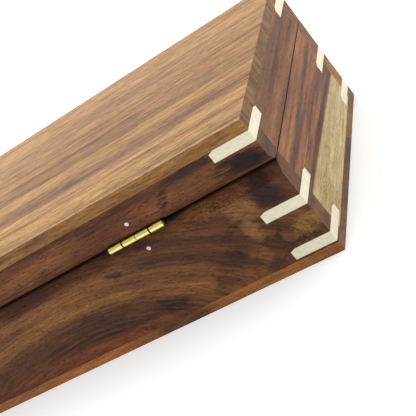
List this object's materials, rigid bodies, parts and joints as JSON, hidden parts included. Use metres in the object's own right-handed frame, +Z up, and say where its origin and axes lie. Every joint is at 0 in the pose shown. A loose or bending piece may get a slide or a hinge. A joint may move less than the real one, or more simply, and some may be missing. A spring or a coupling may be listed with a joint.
{
  "type": "card dealing shoe",
  "caption": "Long hinged wooden box with keyed corners that holds a stack of playing cards and deals them from a mouth under its sloping front.",
  "frame": {"origin": "bottom centre of the whole shoe, on the surface it rests on", "axes": "+X along the shoe from the closed rear end to the dealing mouth, +Y towards the hinge side, +Z up"},
  "size_m": [0.3, 0.108, 0.0621],
  "materials": {
    "side_wood": "satin",
    "end_wood": "satin",
    "top_wood": "satin",
    "base_wood": "satin",
    "key_wood": "satin",
    "ramp_wood": "satin",
    "follower_wood": "satin",
    "brass": "polished",
    "steel": "bright"
  },
  "bodies": {
    "case": {"base_panel": "base_wood", "case_side_left": "side_wood", "case_side_right": "side_wood", "case_rear_end": "end_wood", "dealing_plate": "side_wood", "ramp_board": "ramp_wood", "ramp_rail_left": "ramp_wood", "ramp_rail_right": "ramp_wood", "case_key_rear_left_upper": "key_wood", "case_key_rear_left_lower": "key_wood", "case_key_rear_right_upper": "key_wood", "case_key_rear_right_lower": "key_wood", "case_key_front_left": "key_wood", "case_key_front_right": "key_wood", "hinge_case_leaf_rear": "brass", "hinge_case_leaf_front": "brass", "hinge_pin_rear": "steel", "hinge_pin_front": "steel", "case_lock_pin_rear": "steel", "case_lock_pin_front": "steel"},
    "lid": {"top_panel": "top_wood", "lid_side_left": "side_wood", "lid_side_right": "side_wood", "lid_rear_end": "end_wood", "lid_front_plate": "side_wood", "lid_key_rear_left": "key_wood", "lid_key_rear_right": "key_wood", "lid_key_front_left": "key_wood", "lid_key_front_right": "key_wood", "hinge_lid_leaf_rear": "brass", "hinge_lid_leaf_front": "brass", "lid_lock_pin_rear": "steel", "lid_lock_pin_front": "steel"},
    "follower": {"follower_block": "follower_wood", "follower_ballast": "brass", "front_axle": "steel", "rear_axle": "steel"},
    "front_roller": {"front_roller": "steel"},
    "rear_roller": {"rear_roller": "steel"}
  },
  "joints": [
    {"name": "lid_hinge", "type": "hinge", "parent": "case", "child": "lid", "pos_m": [0, 0.05255, 0.042], "axis": [-1, 0, 0], "range_deg": [0, 135]},
    {"name": "follower_slide", "type": "slide", "parent": "case", "child": "follower", "axis": [-0.9994, 0, 0.0349], "range_m": [0, 0.205]},
    {"name": "front_roller_spin", "type": "hinge", "parent": "follower", "child": "front_roller", "pos_m": [0.104, 0, 0.01356], "axis": [0, 1, 0], "continuous": true},
    {"name": "rear_roller_spin", "type": "hinge", "parent": "follower", "child": "rear_roller", "pos_m": [0.078, 0, 0.01447], "axis": [0, 1, 0], "continuous": true}
  ],
  "couplings": [
    {"joint": "front_roller_spin", "follows": "follower_slide", "rad_per_m": -166.67},
    {"joint": "rear_roller_spin", "follows": "follower_slide", "rad_per_m": -166.67}
  ]
}
